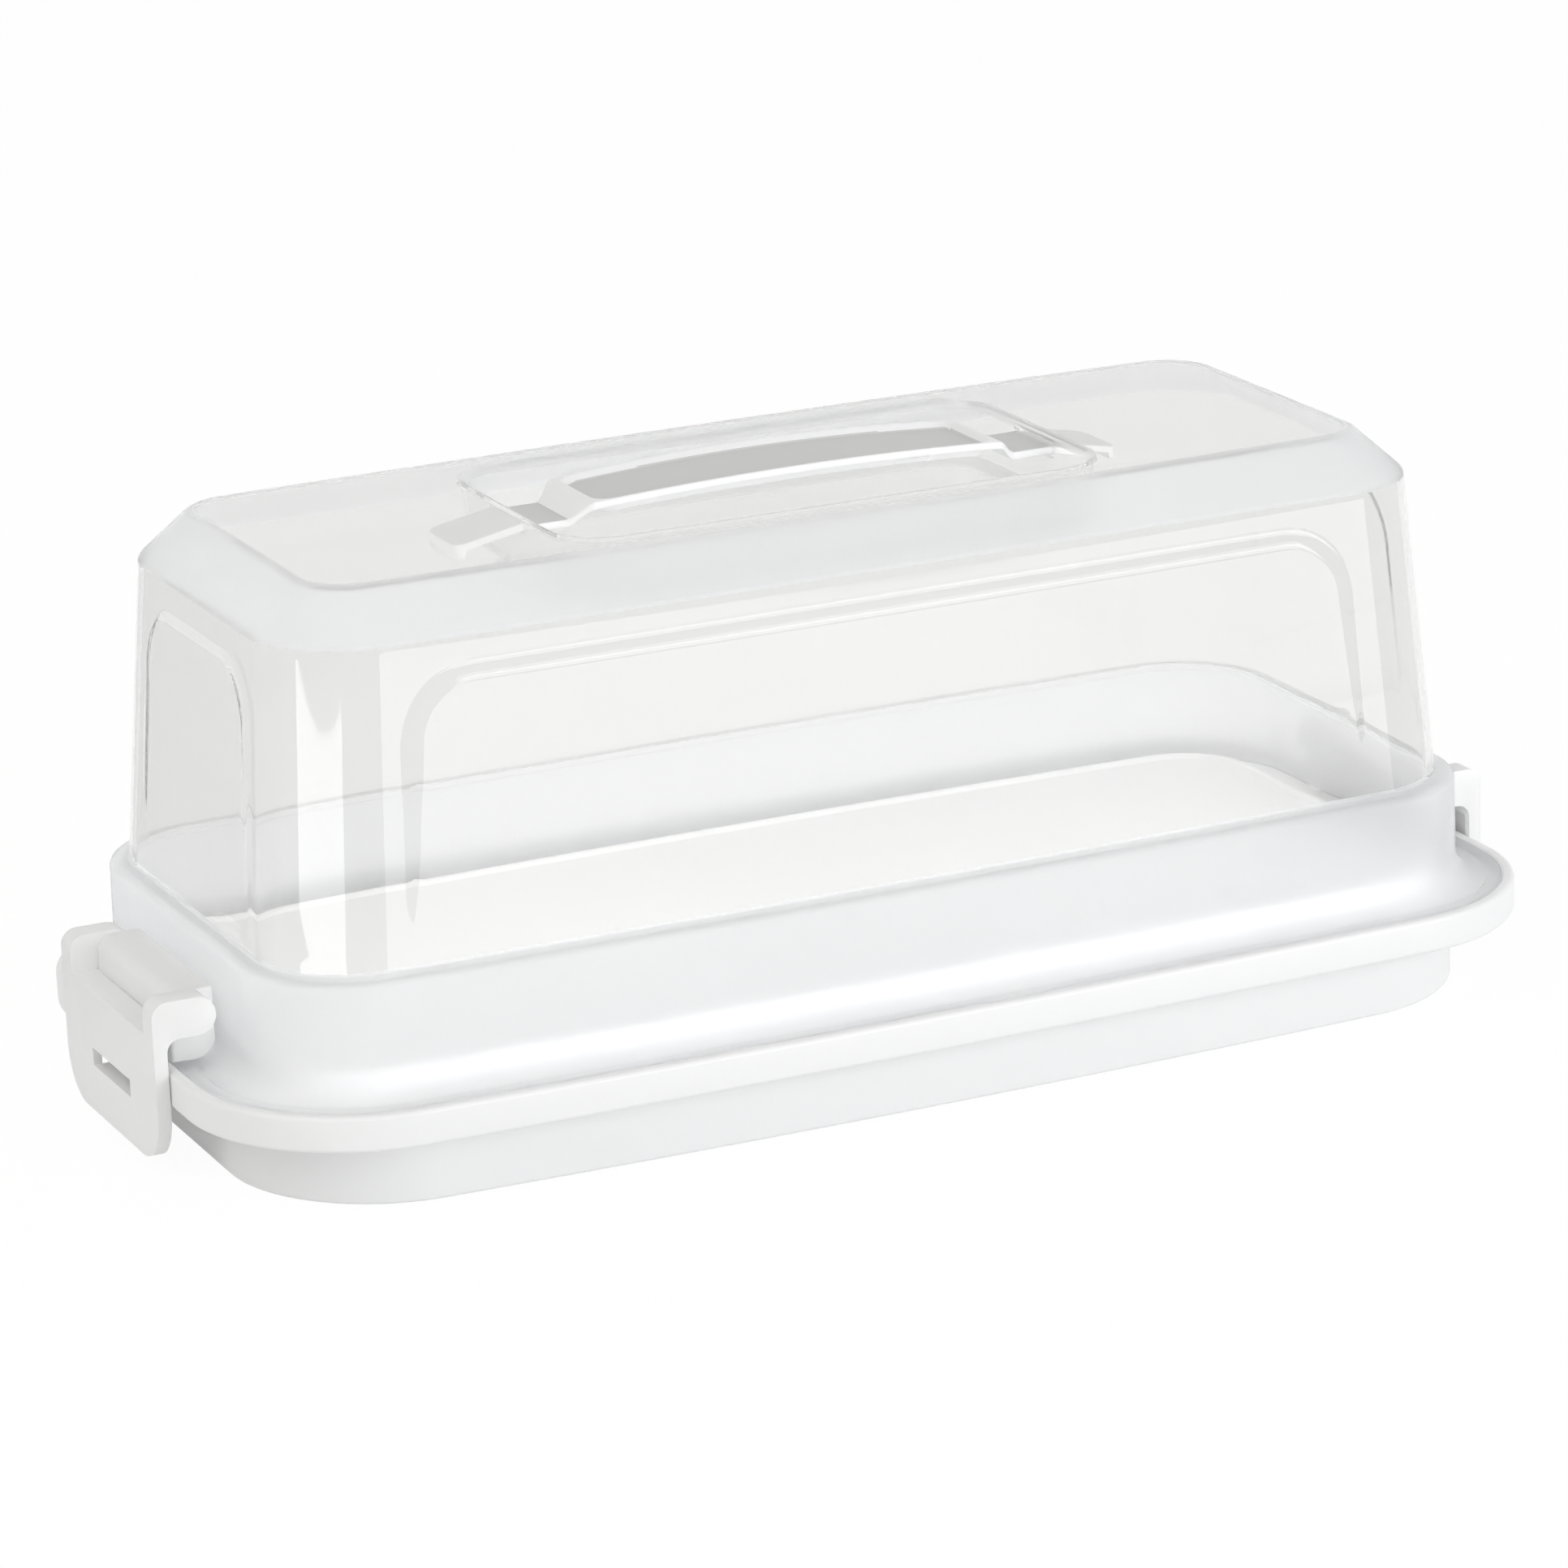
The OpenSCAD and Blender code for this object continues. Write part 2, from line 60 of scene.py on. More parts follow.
# the hand recess in the top: half sizes, corner radius, lean of its walls and its own wall
RECESS_X, RECESS_Y, RECESS_CORNER, RECESS_BOW = 80.0, 43.5, 14.0, 0.3
RECESS_Z, RECESS_LEAN, RECESS_WALL = 144.0, 1.6, 1.8
# the slots for the strap in the recess's end walls
SLOT_X, SLOT_HALF, SLOT_Z = (77.4, 84.4), 11.6, (155.0, SKIN_Z - 0.05)

# finishes of the hood's faces, in the order of its material slots
CLEAR, FROST, TOP, EDGE, RECESS = range(5)

ARC_STEP = 9     # degrees between the stations of a rounded edge
CREASE = 32      # degrees; the cut hood is shaded with a crease at a sharper turn
TINY = 1e-6


# ---------------------------------------------------------------- outlines and profiles

def spans(half, dense_from, fine, coarse):
    """Fractions from -1 to 1 along a straight side of half that length: fine steps near both
    ends and coarse steps between. The ends themselves belong to the corners."""
    near = np.arange(dense_from, 1.0, fine / half)
    mid = np.linspace(-dense_from, dense_from, max(3, int(2 * dense_from * half / coarse)))
    return np.concatenate([-near[::-1], mid[1:-1], near])


# the points of every outline: along its long and its short sides, and round one corner
LONG = spans(148.0, 0.75, 1.25, 6.5)
SHORT = spans(44.0, 0.35, 1.2, 4.5)
CORNER = np.linspace(0.0, 90.0, 22)


def ease(t):
    """0 below 0, 1 above 1, and a smooth step between."""
    t = np.clip(t, 0, 1)
    return t * t * (3 - 2 * t)


def outline(hx, hy, r, bow, z):
    """Points of a rounded rectangle with bowed long sides, anticlockwise from the front right."""
    parts = []

    def arc(cx, cy, start):
        a = np.radians(start + CORNER)
        parts.append(np.stack([cx + r * np.cos(a), cy + r * np.sin(a)], 1))

    arc(hx - r, -hy + r, -90)
    parts.append(np.stack([np.full(len(SHORT), hx), SHORT * (hy - r)], 1))
    arc(hx - r, hy - r, 0)
    parts.append(np.stack([-LONG * (hx - r), np.full(len(LONG), hy)], 1))
    arc(-hx + r, hy - r, 90)
    parts.append(np.stack([np.full(len(SHORT), -hx), -SHORT * (hy - r)], 1))
    arc(-hx + r, -hy + r, 180)
    parts.append(np.stack([LONG * (hx - r), np.full(len(LONG), -hy)], 1))
    p = np.concatenate(parts)
    y = p[:, 1] * (1 + bow / hy * (1 - (p[:, 0] / hx) ** 2))
    return np.stack([p[:, 0], y, np.full(len(p), z)], 1)


def rim_corner(inset, bow=RIM_BOW):
    """Corner radius and bow of an outline that keeps its distance from the rim."""
    return (RIM_CORNER - inset, bow)


def foot_corner(inset):
    """The same for the foot, whose outline has its own corner and bow."""
    return (FOOT_CORNER - (inset - FOOT_IN), FOOT_BOW)


def rim_ring(inset, z, r, bow):
    """The outline at an inset from the rim."""
    return outline(RIM_L / 2 - inset, RIM_W / 2 - inset, r, bow, z)


def fillet_path(points):
    """The stations along a polyline of (inset, z, extra, radius) with its corners rounded. The
    extra numbers are carried along, and each station is ((inset, z), extra)."""
    out = []
    n = len(points)
    for i, (a, z, extra, rad) in enumerate(points):
        p = np.array([a, z], float)
        e = np.array(extra, float)
        if i in (0, n - 1) or rad <= 0:
            out.append((p, e))
            continue
        q0, e0 = np.array(points[i - 1][:2], float), np.array(points[i - 1][2], float)
        q1, e1 = np.array(points[i + 1][:2], float), np.array(points[i + 1][2], float)
        d0, d1 = q0 - p, q1 - p
        l0, l1 = np.linalg.norm(d0), np.linalg.norm(d1)
        d0, d1 = d0 / l0, d1 / l1
        ang = math.acos(max(-1, min(1, float(d0 @ d1))))
        t = min(rad / math.tan(ang / 2), 0.49 * l0, 0.49 * l1)
        rr = t * math.tan(ang / 2)
        turn = math.pi - ang
        steps = max(3, int(math.degrees(turn) / ARC_STEP) + 1)
        bis = d0 + d1
        c = p + bis / np.linalg.norm(bis) * (rr / math.sin(ang / 2))
        s, f = p + d0 * t, p + d1 * t
        a0 = math.atan2(*(s - c)[::-1])
        a1 = math.atan2(*(f - c)[::-1])
        da = (a1 - a0 + math.pi) % (2 * math.pi) - math.pi
        es, ef = e + (e0 - e) * t / l0, e + (e1 - e) * t / l1
        for k in range(steps + 1):
            u = k / steps
            th = a0 + da * u
            out.append((c + rr * np.array([math.cos(th), math.sin(th)]),
                        (1 - u) ** 2 * es + 2 * u * (1 - u) * e + u ** 2 * ef))
    return out


def densify(path, zones):
    """Splits long steps of a path. zones is a list of (z low, z high, longest step)."""
    out = [path[0]]
    for (p0, e0), (p1, e1) in zip(path, path[1:]):
        length = np.linalg.norm(p1 - p0)
        cuts = [0.0, 1.0]
        for lo, hi, step in zones:
            a, b = sorted((p0[1], p1[1]))
            lo2, hi2 = max(lo, a), min(hi, b)
            if hi2 - lo2 > TINY and b - a > TINY:
                u0, u1 = (lo2 - p0[1]) / (p1[1] - p0[1]), (hi2 - p0[1]) / (p1[1] - p0[1])
                m = max(1, int(math.ceil(abs(u1 - u0) * length / step)))
                cuts += list(np.linspace(u0, u1, m + 1))
        cuts = sorted(set(round(c, 6) for c in cuts))
        for u in cuts[1:]:
            out.append((p0 + (p1 - p0) * u, e0 + (e1 - e0) * u))
    return out


def link_object(name, data):
    """A new object in the scene with this data."""
    o = bpy.data.objects.new(name, data)
    scene.collection.objects.link(o)
    return o


def mesh_object(name, verts, faces):
    """A smooth-shaded piece from points in millimetres."""
    m = bpy.data.meshes.new(name)
    m.from_pydata([tuple(v) for v in np.asarray(verts) * MM], [], faces)
    m.validate()
    m.update()
    m.polygons.foreach_set("use_smooth", [True] * len(m.polygons))
    return link_object(name, m)


def loft_faces(rings, n, closed_ends=True, start=0):
    """Faces that join rings of n points each, whose first point has the number start."""
    faces = []
    for k in range(rings - 1):
        a, b = start + k * n, start + (k + 1) * n
        for i in range(n):
            j = (i + 1) % n
            faces.append((a + i, a + j, b + j, b + i))
    if closed_ends:
        faces.append(tuple(start + i for i in range(n))[::-1])
        faces.append(tuple(start + (rings - 1) * n + i for i in range(n)))
    return faces


# ---------------------------------------------------------------- the arch panels

# each panel: the axis that runs across it, half its width, the radius of its top corners, the
# width of its ramp at the sides and along the top, and how far it stands out at the bevel
LONG_PANEL = (0, 142.0, 21.0, 5.2, 2.8, 2.0)
END_PANEL = (1, 39.0, 19.0, 6.0, 3.2, 1.2)
PANEL_TOP = 140.0
# the sides of a panel spread by this much over this height, downwards from its corners
SPREAD, SPREAD_H, SPREAD_MOST = 2.5, 58.0, 1.3
# the panel fades out into the wall between these heights
FADE_FROM, FADE_TO = 66.0, 88.0
# rings between these heights, and further in than this, are on the wall and can have a panel
WALL_FROM, WALL_TO, WALL_IN = 62.5, 145.5, 20.5
# the ramp narrows with the panel's height, and its two bends are rounded
FULL_RAMP, LEAST_SHARE, LEAST_RAMP, RAMP_BEND = 1.6, 0.25, 0.8, 0.10


def panel_push(p, panel):
    """How far the wall stands out at points p for one kind of panel."""
    axis, half, r, band_side, band_top, height = panel
    across, z = np.abs(p[:, axis]), p[:, 2]
    low = PANEL_TOP - r
    spread = SPREAD * np.clip((low - z) / SPREAD_H, 0, SPREAD_MOST)
    qx = across - (half - r) - spread
    qz = z - low
    outside = np.hypot(np.maximum(qx, 0), np.maximum(qz, 0))
    d = r - (outside + np.minimum(np.maximum(qx, qz), 0))
    proud = height * np.clip((z - SHOULDER_Z) / (BEVEL_Z - SHOULDER_Z), 0, 1)
    proud = proud * ease((z - FADE_FROM) / (FADE_TO - FADE_FROM))
    # the ramp is wide at the sides and narrow along the top
    upward = np.maximum(qz, 0) / np.maximum(outside, TINY)
    share = np.clip(np.where(outside > TINY, upward, qz > qx), 0, 1)
    band = band_side + (band_top - band_side) * share
    band = np.maximum(band * np.clip(proud / FULL_RAMP, LEAST_SHARE, 1), LEAST_RAMP)
    t, soft = np.clip(d / band, -0.2, 1.2), RAMP_BEND
    ramp = np.where(np.abs(t) < soft, (t + soft) ** 2 / (4 * soft), t)
    ramp = np.where(np.abs(t - 1) < soft, 1 - (1 + soft - t) ** 2 / (4 * soft), ramp)
    ramp = np.where(t <= -soft, 0, ramp)
    ramp = np.where(t >= 1 + soft, 1, ramp)
    return proud * ramp


def with_panels(ring):
    """A ring of the wall with the arch panels pushed out of its four flat sides."""
    straight = 0.95
    tangent = np.roll(ring, -1, 0) - np.roll(ring, 1, 0)
    nx, ny = tangent[:, 1], -tangent[:, 0]
    length = np.hypot(nx, ny)
    nx, ny = nx / length, ny / length
    push = (np.where(np.abs(ny) > straight, panel_push(ring, LONG_PANEL), 0)
            + np.where(np.abs(nx) > straight, panel_push(ring, END_PANEL), 0))
    p = ring.copy()
    p[:, 0] += nx * push
    p[:, 1] += ny * push
    return p


# ---------------------------------------------------------------- the hood

def flare(radius, tens):
    """A point of the skirt's flared foot, so many tens of degrees round from the flange."""
    phi = math.radians(10 * tens)
    inset = FLARE_IN + radius * math.sin(phi)
    return (inset, FLARE_Z - radius * math.cos(phi), rim_corner(inset, FLARE_BOW), 0)


def hood_profiles():
    """Stations of the hood's outer side, from the flange up, and of its inner side, down. The
    points are (inset, height, (corner radius, bow), fillet radius)."""
    outer = [
        # the flange, in the tray's seat channel, and the groove inside it
        (3.5, FLANGE_BOTTOM, rim_corner(3.5), 0),
        (3.5, RIM_TOP, rim_corner(3.5), 0.7),
        (7.2, RIM_TOP, rim_corner(7.2), 0.6),
        (7.8, RIM_TOP - 0.5, rim_corner(7.8), 0.3),
        (FLARE_IN, RIM_TOP - 0.5, rim_corner(FLARE_IN, FLARE_BOW), 0),
        # the frosted skirt up to the shoulder, the clear wall, the bevel and the top
        *[flare(FLARE_R, tens) for tens in range(1, 10)],
        (17.0, SHOULDER_Z, (30.0, 3.4), 4.2),
        (21.9, SHOULDER_Z, (27.0, 3.0), 0.55),
        (28.1, BEVEL_Z, (27.0, 0.7), 2.2),
        (42.1, TOP_Z, (14.0, 2.5), 4.5),
        (46.5, TOP_Z, (11.0, 2.5), 0),
    ]
    inner = [
        (46.5, SKIN_Z, (10.0, 2.5), 0),
        (42.9, SKIN_Z, (13.0, 2.5), 3.0),
        (30.05, BEVEL_Z - 0.8, (25.0, 0.7), 1.5),
        (23.8, SHOULDER_Z - WALL, (25.1, 3.0), 2.2),
        (19.0, SHOULDER_Z - WALL, (28.0, 3.4), 2.2),
        (FLARE_IN + FLARE_R + WALL, FLARE_Z, (28.9, FLARE_BOW), 0),
        *[flare(FLARE_R + WALL, tens) for tens in range(8, 0, -1)],
        (FLARE_IN, FLANGE_BOTTOM, rim_corner(FLARE_IN, FLARE_BOW), 0),
    ]
    # the longest step between stations, by height: fine where the panels' tops are
    zones = [(62.0, 100.0, 5.0), (100.0, 116.0, 2.7), (116.0, 143.0, 1.1), (143.0, 148.0, 3.0),
             (38.5, 60.0, 7.0), (148.6, 160.0, 4.0)]
    # the flat top runs from the bevel's fillet straight to the recess's rounded edge
    return densify(fillet_path(outer), zones)[:-1], densify(fillet_path(inner), zones)[1:]


def recess_profiles():
    """Stations of the recess's visible side, going in, and of its underside, coming out. The
    first number is how far they stand out from the recess's own outline."""
    reach, bare = 12.0, (0,)
    below = RECESS_Z - RECESS_WALL
    top = fillet_path([(reach, TOP_Z, bare, 0), (0.0, TOP_Z, bare, 2.2),
                       (0.0, RECESS_Z, bare, 2.2), (-reach, RECESS_Z, bare, 0)])
    tub = fillet_path([(-reach, below, bare, 0), (RECESS_WALL, below, bare, 3.6),
                       (RECESS_WALL, SKIN_Z, bare, 1.2), (10.0, SKIN_Z, bare, 0)])
    return top[1:], tub[:-1]


def wall_rings(path):
    """Outlines of the stations of one side of the hood, with panels on its clear wall."""
    rings = []
    for (inset, z), (r, bow) in path:
        ring = rim_ring(inset, z, r, bow)
        if WALL_FROM < z < WALL_TO and inset > WALL_IN:
            ring = with_panels(ring)
        rings.append(ring)
    return rings


def recess_rings(path):
    rings = []
    for (out, z), _ in path:
        lean = RECESS_LEAN * (TOP_Z - z) / (TOP_Z - RECESS_Z)
        rings.append(outline(RECESS_X + out - lean, RECESS_Y + out - lean,
                             max(RECESS_CORNER + out - lean / 2, 1.0), RECESS_BOW, z))
    return rings


def half_size(ring):
    """A smaller ring inside the last one, so that a flat floor has no long thin faces."""
    return ring * (0.5, 0.5, 1.0)


def wall_finish(path):
    """The finish of each band of faces between two stations of the hood's side."""
    wall_from, wall_to, edge_in = SHOULDER_Z + 0.35, BEVEL_Z - 0.9, 43.4
    finish = []
    for (a, _), (b, _) in zip(path, path[1:]):
        inset, z = (a + b) / 2
        if wall_from <= z < wall_to:
            finish.append(CLEAR)
        else:
            finish.append(EDGE if z >= wall_to and inset >= edge_in else FROST)
    return finish


def recess_finish(path):
    """Satin where a step goes both inwards and down, on a rounded edge; else the recess's own."""
    least = 0.02
    return [EDGE if min(abs(a - b)) > least else RECESS
            for (a, _), (b, _) in zip(path, path[1:])]


def build_hood():
    out_path, in_path = hood_profiles()
    top_path, tub_path = recess_profiles()
    outer, inner = wall_rings(out_path), wall_rings(in_path)
    top, tub = recess_rings(top_path), recess_rings(tub_path)
    upper = outer + top + [half_size(top[-1])]
    lower = [half_size(tub[0])] + tub + inner
    n = len(upper[0])
    start = len(upper) * n
    last = start + (len(lower) - 1) * n
    faces = loft_faces(len(upper), n, False)
    faces.append(tuple(start - n + i for i in range(n)))
    faces += loft_faces(len(lower), n, False, start)
    faces.append(tuple(start + i for i in range(n))[::-1])
    faces += [(last + i, last + (i + 1) % n, (i + 1) % n, i) for i in range(n)]
    upper_bands = wall_finish(out_path) + [TOP] + recess_finish(top_path) + [RECESS]
    lower_bands = [RECESS] + recess_finish(tub_path) + [TOP] + wall_finish(in_path)
    slots = [t for t in upper_bands for _ in range(n)] + [RECESS]
    slots += [t for t in lower_bands for _ in range(n)] + [RECESS] + [FROST] * n
    o = mesh_object("hood_shell", np.concatenate(upper + lower), faces)
    o.data.polygons.foreach_set("material_index", slots)
    return o


hood = build_hood()


def cut(target, name, *ranges):
    """Cuts a straight-sided opening through a piece, between a low and a high x, y and z."""
    bm = bmesh.new()
    bmesh.ops.create_cube(bm, size=1.0)
    centre, size = zip(*[((a + b) / 2 * MM, (b - a) * MM) for a, b in ranges])
    bmesh.ops.scale(bm, vec=size, verts=bm.verts)
    bmesh.ops.translate(bm, vec=centre, verts=bm.verts)
    m = bpy.data.meshes.new(name)
    bm.to_mesh(m)
    bm.free()
    tool = link_object(name, m)
    mod = target.modifiers.new(name, "BOOLEAN")
    mod.operation = "DIFFERENCE"
    mod.solver = "EXACT"
    mod.object = tool
    bpy.context.view_layer.update()
    graph = bpy.context.evaluated_depsgraph_get()
    cut_mesh = bpy.data.meshes.new_from_object(target.evaluated_get(graph))
    target.modifiers.remove(mod)
    old = target.data
    target.data = cut_mesh
    cut_mesh.set_sharp_from_angle(angle=math.radians(CREASE))
    bpy.data.meshes.remove(old)
    bpy.data.objects.remove(tool)
    bpy.data.meshes.remove(m)


# ---------------------------------------------------------------- the tray

def build_tray():
    """The tray, from under its floor round the foot, the rim and the seat to the floor. The
    points are (inset, height, (corner radius, bow), fillet radius)."""
    foot_inner = FOOT_IN + FOOT_WALL
    path = fillet_path([
        (40.0, FLOOR_BELOW, (14.0, RIM_BOW), 0),
        (28.2, FLOOR_BELOW, rim_corner(28.2), 1.5),
        (26.0, UNDERSIDE, rim_corner(26.0), 1.5),
        # the foot wall
        (foot_inner, UNDERSIDE, foot_corner(foot_inner), 1.0),
        (foot_inner, 0.0, foot_corner(foot_inner), 0.7),
        (FOOT_IN, 0.0, foot_corner(FOOT_IN), 0.9),
        (FOOT_IN, UNDERSIDE, foot_corner(FOOT_IN), 4.0),
        # the rim's band and lip
        (2.5, UNDERSIDE, rim_corner(2.5), 0.8),
        (2.5, BAND_BOTTOM, rim_corner(2.5), 1.2),
        (0.0, BAND_BOTTOM, rim_corner(0.0), 2.4),
        (0.0, RIM_TOP, rim_corner(0.0), 1.3),
        (3.2, RIM_TOP, rim_corner(3.2), 0.7),
        # the seat channel, the bead and the cake floor
        (3.2, SEAT_Z, rim_corner(3.2), 0.5),
        (23.5, SEAT_Z, rim_corner(23.5), 1.2),
        (25.3, BEAD_Z, rim_corner(25.3), 1.0),
        (27.6, BEAD_Z, rim_corner(27.6), 0.9),
        (28.8, FLOOR_Z, rim_corner(28.8), 0.8),
        (44.0, FLOOR_Z, (10.0, RIM_BOW), 0),
    ])
    path = densify(path, [(1.0, 30.0, 5.0)])
    rings = [rim_ring(inset, z, r, bow) for (inset, z), (r, bow) in path]
    return mesh_object("tray_body", np.concatenate(rings), loft_faces(len(rings), len(rings[0])))


tray = build_tray()


# ---------------------------------------------------------------- the handle

def build_handle():
    """The strap handle: flat tabs and straps, a step at each end and a dished grip."""
    lift, gap = 1.0, 0.3
    strap_z, strap_half, strap_t = SKIN_Z - lift - gap, 11.0, 2.2
    step_top, step_end, slot_x, tab_end = 61.5, 68.5, RECESS_X, 101.0
    grip_z, grip_half, grip_bow, grip_fall, dish = TOP_Z + 4.0, 17.5, 2.7, 3.0, 2.1
    stop_h, stop_t, tip_r = 1.8, 3.0, 3.5
    # past the slot the tab bends down and falls evenly to its tip
    bend, tab_fall = 1.0, 4.0
    slope = tab_fall / (tab_end - slot_x)
    # the rounded edges, and the raised lip round the grip with its end radius
    edge_r, rim_w, rim_flat, end_r = 0.5, 3.0, 0.6, 6.5
    # the upper face, painted darker as shade: on the grip up to this share of the lip, and
    # elsewhere this much of the strap's width; a station with more than this share of the dish is
    # on the grip
    face_lip, face_w, grip_share = 0.30, 0.96, 0.02

    def along(x):
        """Edge height, half width and share of the dish at a station."""
        far = abs(x)
        share = float(ease((step_end - far) / (step_end - step_top)))
        t = (min(far, step_end) / step_end) ** 2
        over = max(0.0, far - slot_x + bend)
        low = strap_z - slope * (over - bend if over > 2 * bend else over * over / (4 * bend))
        z = low + share * (grip_z - grip_fall * t - low)
        half = strap_half + share * (grip_half - grip_bow * t - strap_half)
        tip = tab_end - far
        if tip < tip_r:
            half -= tip_r - math.sqrt(max(0.0, tip_r ** 2 - (tip_r - tip) ** 2))
        return z, half, share

    # stations along the strap, from the tab's tip over the bend and the step to the grip
    ends = np.concatenate([
        np.linspace(-tab_end, -tab_end + 4, 13), np.linspace(-96, -84, 5),
        np.linspace(-82, -78, 9), np.linspace(-76, -70, 3),
        np.linspace(-step_end - 0.8, -step_top + 3.5, 40), np.linspace(-57.4, -48, 14),
    ])
    xs = np.concatenate([ends, np.linspace(-46, 46, 47), -ends[::-1]])
    # stations across it, as fractions of the half width
    flank = np.concatenate([np.linspace(0.72, 0.93, 16), [0.95, 0.97, 0.985, 0.995, 1]])
    us = np.concatenate([-flank[::-1], np.linspace(-0.66, 0.66, 13), flank])
    rings, marks = [], []
    for x in xs:
        z, half, share = along(x)
        y = us * half
        # the raised edge runs along both sides and round both ends of the grip
        qx, qy = abs(x) - (step_top - end_r), np.abs(y) - (half - end_r)
        inside = (end_r - np.hypot(np.maximum(qx, 0), np.maximum(qy, 0))
                  - np.minimum(np.maximum(qx, qy), 0))
        lip = np.clip(1 - (inside - rim_flat) / (rim_w - rim_flat), 0, 1)
        lip = lip ** 1.5 * (2.5 - 1.5 * lip)
        near = np.clip((half - np.abs(y)) / edge_r, 0, 1)
        drop = edge_r * (1 - np.sqrt(1 - (1 - near) ** 2))
        top = z - dish * share * (1 - lip)
        thick = strap_t + (stop_h if tab_end - abs(x) < stop_t else 0.0)
        upper = np.stack([np.full(len(us), x), y, top - drop], 1)
        lower = np.stack([np.full(len(us), x), y, top - thick + drop], 1)
        rings.append(np.concatenate([lower, upper[::-1]]))
        face = lip < face_lip if share > grip_share else np.abs(us) < face_w
        marks.append(face[::-1])
    o = mesh_object("handle_strap", np.concatenate(rings), loft_faces(len(rings), len(rings[0])))
    # the upper face, rougher and painted darker as shade, is slot 1, the polished edges and
    # underside slot 0
    m, n = len(us), len(rings[0])
    slots = []
    for f in o.data.polygons:
        ring_at, k = divmod(f.vertices[0], n)
        painted_shade = len(f.vertices) == 4 and m <= k < n - 1 and marks[ring_at][k - m]
        slots.append(1 if painted_shade else 0)
    o.data.polygons.foreach_set("material_index", slots)
    return o


handle = build_handle()


# ---------------------------------------------------------------- the clips

def soften(o, width, angle):
    """Rounds the edges that turn by more than an angle, as a mould leaves them."""
    bevel = o.modifiers.new("edges", "BEVEL")
    bevel.width = width * MM
    bevel.segments = 3
    bevel.limit_method = "ANGLE"
    bevel.angle_limit = math.radians(angle)
    bevel.harden_normals = True
    o.data.polygons.foreach_set("use_smooth", [True] * len(o.data.polygons))


def rounded_copy(node, name, width):
    """A new piece with the node's own shape and softer edges."""
    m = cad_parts[node].data.copy()
    m.name = name
    m.materials.clear()
    bm = bmesh.new()
    bm.from_mesh(m)
    bmesh.ops.remove_doubles(bm, verts=bm.verts, dist=TINY)
    bmesh.ops.dissolve_limit(bm, angle_limit=math.radians(1.5), verts=bm.verts, edges=bm.edges)
    bm.to_mesh(m)
    bm.free()
    o = link_object(name, m)
    soften(o, width, angle=30)
    return o


CLIP_EDGE = 1.15
clip_l = rounded_copy("clip_left", "clip_left_body", CLIP_EDGE)
clip_r = rounded_copy("clip_right", "clip_right_body", CLIP_EDGE)


# ---------------------------------------------------------------- the hood's hinge blocks

def build_block(name, side):
    """The hollow hinge block on the hood's flange at one end, open below and to the skirt.
    Its bores are hidden by the clip's cheeks, and are in the solids alone."""
    x_skirt, x_out, z_low, z_top, half_w = 183.9, 196.5, 30.3, 50.3, 28.7
    corner, wall, side_wall, edge = 4.5, 2.0, 4.3, 0.9

    def profile(inwards):
        """The block's section, or that of its hollow, this far in from the outer one."""
        x1, z1, r = x_out - inwards, z_top - inwards, corner - inwards
        pts = [(x_skirt, z_low), (x1, z_low)]
        for deg in range(0, 91, ARC_STEP):
            a = math.radians(deg)
            pts.append((x1 - r + r * math.cos(a), z1 - r + r * math.sin(a)))
        pts.append((x_skirt, z1))
        return pts

    bm = bmesh.new()
    rows = []
    for pts, half in ((profile(0.0), half_w), (profile(wall), half_w - side_wall)):
        for y in (-half, half):
            rows.append([bm.verts.new((side * x * MM, y * MM, z * MM)) for x, z in pts])
    o0, o1, i0, i1 = rows
    for k in range(1, len(o0) - 1):
        bm.faces.new((o0[k], o0[k + 1], o1[k + 1], o1[k]))
        bm.faces.new((i0[k], i1[k], i1[k + 1], i0[k + 1]))
    bm.faces.new(o0)
    bm.faces.new(o1[::-1])
    bm.faces.new(i0[::-1])
    bm.faces.new(i1)
    # the lower rim and the edge against the skirt
    bm.faces.new((o0[0], o0[1], i0[1], i0[0]))
    bm.faces.new((o1[0], i1[0], i1[1], o1[1]))
    bm.faces.new((o0[1], o1[1], i1[1], i0[1]))
    bm.faces.new((o0[-1], i0[-1], i1[-1], o1[-1]))
    bm.faces.new((o0[-1], o0[0], i0[0], i0[-1]))
    bm.faces.new((o1[-1], i1[-1], i1[0], o1[0]))
    bmesh.ops.recalc_face_normals(bm, faces=bm.faces)
    m = bpy.data.meshes.new(name)
    bm.to_mesh(m)
    bm.free()
    o = link_object(name, m)
    soften(o, edge, angle=40)
    return o


block_l = build_block("hood_hinge_block_left", -1)
block_r = build_block("hood_hinge_block_right", 1)


# ---------------------------------------------------------------- materials

def empty_tree(owner):
    """The node tree of a material or a world, with nothing in it."""
    owner.use_nodes = True
    owner.node_tree.nodes.clear()
    return owner.node_tree


def new_material(name):
    m = bpy.data.materials.new(name)
    nt = empty_tree(m)
    out = nt.nodes.new("ShaderNodeOutputMaterial")
    bsdf = nt.nodes.new("ShaderNodeBsdfPrincipled")
    nt.links.new(bsdf.outputs[0], out.inputs["Surface"])
    return m, nt, bsdf, out


def set_inputs(node, values):
    for name, value in values.items():
        node.inputs[name].default_value = value


def noise(nt, scale, detail):
    """A noise over the piece's own coordinates, in metres."""
    tc = nt.nodes.new("ShaderNodeTexCoord")
    nz = nt.nodes.new("ShaderNodeTexNoise")
    set_inputs(nz, {"Scale": scale, "Detail": detail})
    nt.links.new(tc.outputs["Object"], nz.inputs["Vector"])
    return nz.outputs["Fac"]


